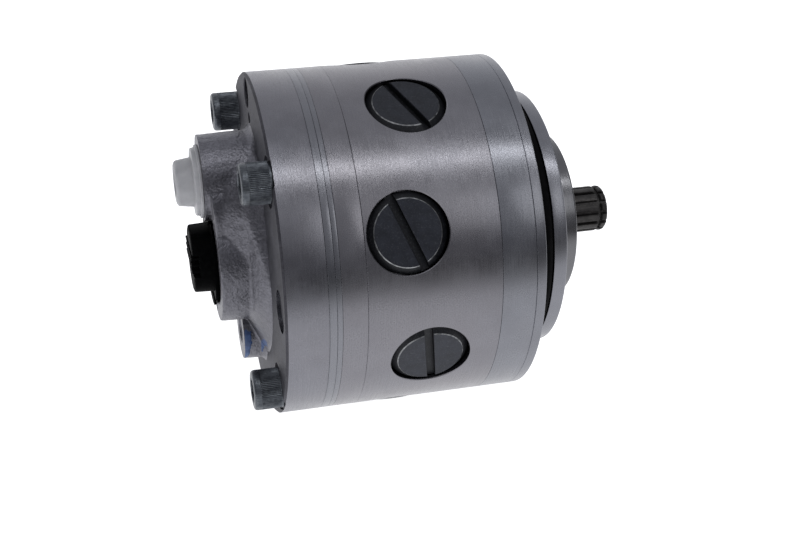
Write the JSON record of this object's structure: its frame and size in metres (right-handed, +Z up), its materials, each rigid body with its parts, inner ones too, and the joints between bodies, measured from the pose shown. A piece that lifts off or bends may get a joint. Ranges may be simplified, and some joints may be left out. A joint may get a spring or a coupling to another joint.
{
  "type": "radial piston hydraulic motor",
  "caption": "Compact round hydraulic motor: radial pistons push a slide ring on an eccentric splined shaft, fed by a rotary valve behind a ported rear cover.",
  "frame": {"origin": "on the shaft axis, in the plane of the mounting flange's face, where the pilot begins", "axes": "+X along the shaft, out of its splined end; +Z up, with the ports' bosses in one vertical line and the white upper port on top; +Y completes the frame"},
  "size_m": [0.2036, 0.157, 0.157],
  "materials": {
    "housing_steel": "ground steel, fine turning marks",
    "flange_steel": "machined steel",
    "cast_cover": "as-cast grey iron with machined faces",
    "plug_steel": "blackened steel",
    "screw_steel": "dark zinc finish, knurled head",
    "shaft_steel": "hardened dark steel",
    "bearing_steel": "ground bearing steel",
    "spring_steel": "oiled spring steel",
    "bronze": "turned bronze",
    "rubber": "moulded nitrile rubber",
    "white_plastic": "translucent natural polyethylene",
    "black_plastic": "moulded black polyethylene"
  },
  "bodies": {
    "housing_body": {"housing": "housing_steel", "front_flange": "flange_steel", "bearing_plate": "housing_steel", "distributor_plate": "housing_steel", "channel_plate": "housing_steel", "rear_cover": "cast_cover", "seal_carrier": "flange_steel", "shaft_seal": "rubber", "seal_circlip": "spring_steel", "pilot_o_ring": "rubber", "front_bearing_outer": "bearing_steel", "rear_bearing_outer": "bearing_steel", "cylinder_plug_1": "plug_steel", "cylinder_plug_2": "plug_steel", "cylinder_plug_3": "plug_steel", "cylinder_plug_4": "plug_steel", "cylinder_plug_5": "plug_steel", "cylinder_plug_6": "plug_steel", "cylinder_plug_7": "plug_steel", "cylinder_plug_8": "plug_steel", "cap_screw_1": "screw_steel", "cap_screw_2": "screw_steel", "cap_screw_3": "screw_steel", "cap_screw_4": "screw_steel", "dowel_1": "bearing_steel", "dowel_2": "bearing_steel"},
    "shaft": {"crankshaft": "shaft_steel", "valve_coupling": "bearing_steel", "distributor_valve": "bearing_steel", "front_bearing_inner": "bearing_steel", "rear_bearing_inner": "bearing_steel"},
    "front_cage": {"front_bearing_rollers": "bearing_steel"},
    "rear_cage": {"rear_bearing_rollers": "bearing_steel"},
    "eccentric_cage": {"eccentric_rollers": "bearing_steel"},
    "slide_ring_body": {"slide_ring": "bearing_steel", "front_slipper_retainer": "bronze", "rear_slipper_retainer": "bronze"},
    "thrust_washer": {"floating_thrust_washer": "bronze"},
    "upper_plug": {"upper_port_plug": "white_plastic"},
    "centre_plug": {"centre_port_plug": "black_plastic"},
    "piston_body_1": {"piston_1": "bearing_steel", "slipper_1": "bronze"},
    "piston_body_2": {"piston_2": "bearing_steel", "slipper_2": "bronze"},
    "piston_body_3": {"piston_3": "bearing_steel", "slipper_3": "bronze"},
    "piston_body_4": {"piston_4": "bearing_steel", "slipper_4": "bronze"},
    "piston_body_5": {"piston_5": "bearing_steel", "slipper_5": "bronze"},
    "piston_body_6": {"piston_6": "bearing_steel", "slipper_6": "bronze"},
    "piston_body_7": {"piston_7": "bearing_steel", "slipper_7": "bronze"},
    "piston_body_8": {"piston_8": "bearing_steel", "slipper_8": "bronze"}
  },
  "joints": [
    {"name": "shaft_spin", "type": "hinge", "parent": "housing_body", "child": "shaft", "pos_m": [0, 0, 0], "axis": [1, 0, 0], "continuous": true},
    {"name": "front_cage_spin", "type": "hinge", "parent": "housing_body", "child": "front_cage", "pos_m": [0, 0, 0], "axis": [1, 0, 0], "continuous": true},
    {"name": "rear_cage_spin", "type": "hinge", "parent": "housing_body", "child": "rear_cage", "pos_m": [0, 0, 0], "axis": [1, 0, 0], "continuous": true},
    {"name": "eccentric_cage_spin", "type": "hinge", "parent": "shaft", "child": "eccentric_cage", "pos_m": [0, 0, 0.004], "axis": [1, 0, 0], "continuous": true},
    {"name": "slide_ring_hold", "type": "hinge", "parent": "shaft", "child": "slide_ring_body", "pos_m": [0, 0, 0.004], "axis": [1, 0, 0], "continuous": true},
    {"name": "thrust_washer_float", "type": "hinge", "parent": "shaft", "child": "thrust_washer", "pos_m": [0, 0, 0.002], "axis": [1, 0, 0], "continuous": true},
    {"name": "piston_stroke_1", "type": "hinge", "parent": "thrust_washer", "child": "piston_body_1", "pos_m": [0, 0.00141, 0.00341], "axis": [1, 0, 0], "continuous": true},
    {"name": "piston_stroke_2", "type": "hinge", "parent": "thrust_washer", "child": "piston_body_2", "pos_m": [0, -0.00141, 0.00341], "axis": [1, 0, 0], "continuous": true},
    {"name": "piston_stroke_3", "type": "hinge", "parent": "thrust_washer", "child": "piston_body_3", "pos_m": [0, -0.00141, 0.00059], "axis": [1, 0, 0], "continuous": true},
    {"name": "piston_stroke_4", "type": "hinge", "parent": "thrust_washer", "child": "piston_body_4", "pos_m": [0, 0.00141, 0.00059], "axis": [1, 0, 0], "continuous": true},
    {"name": "piston_stroke_5", "type": "hinge", "parent": "thrust_washer", "child": "piston_body_5", "pos_m": [0, 0.00141, 0.00341], "axis": [1, 0, 0], "continuous": true},
    {"name": "piston_stroke_6", "type": "hinge", "parent": "thrust_washer", "child": "piston_body_6", "pos_m": [0, -0.00141, 0.00341], "axis": [1, 0, 0], "continuous": true},
    {"name": "piston_stroke_7", "type": "hinge", "parent": "thrust_washer", "child": "piston_body_7", "pos_m": [0, -0.00141, 0.00059], "axis": [1, 0, 0], "continuous": true},
    {"name": "piston_stroke_8", "type": "hinge", "parent": "thrust_washer", "child": "piston_body_8", "pos_m": [0, 0.00141, 0.00059], "axis": [1, 0, 0], "continuous": true},
    {"name": "upper_plug_pull", "type": "slide", "parent": "housing_body", "child": "upper_plug", "axis": [-1, 0, 0], "range_m": [0, 0.03]},
    {"name": "centre_plug_pull", "type": "slide", "parent": "housing_body", "child": "centre_plug", "axis": [-1, 0, 0], "range_m": [0, 0.03]}
  ],
  "couplings": [
    {"joint": "front_cage_spin", "follows": "shaft_spin", "ratio": 0.4211},
    {"joint": "rear_cage_spin", "follows": "shaft_spin", "ratio": 0.4288},
    {"joint": "eccentric_cage_spin", "follows": "shaft_spin", "ratio": -0.5381},
    {"joint": "slide_ring_hold", "follows": "shaft_spin", "ratio": -1},
    {"joint": "thrust_washer_float", "follows": "shaft_spin", "ratio": -2},
    {"joint": "piston_stroke_1", "follows": "shaft_spin", "ratio": 1},
    {"joint": "piston_stroke_2", "follows": "shaft_spin", "ratio": 1},
    {"joint": "piston_stroke_3", "follows": "shaft_spin", "ratio": 1},
    {"joint": "piston_stroke_4", "follows": "shaft_spin", "ratio": 1},
    {"joint": "piston_stroke_5", "follows": "shaft_spin", "ratio": 1},
    {"joint": "piston_stroke_6", "follows": "shaft_spin", "ratio": 1},
    {"joint": "piston_stroke_7", "follows": "shaft_spin", "ratio": 1},
    {"joint": "piston_stroke_8", "follows": "shaft_spin", "ratio": 1}
  ]
}
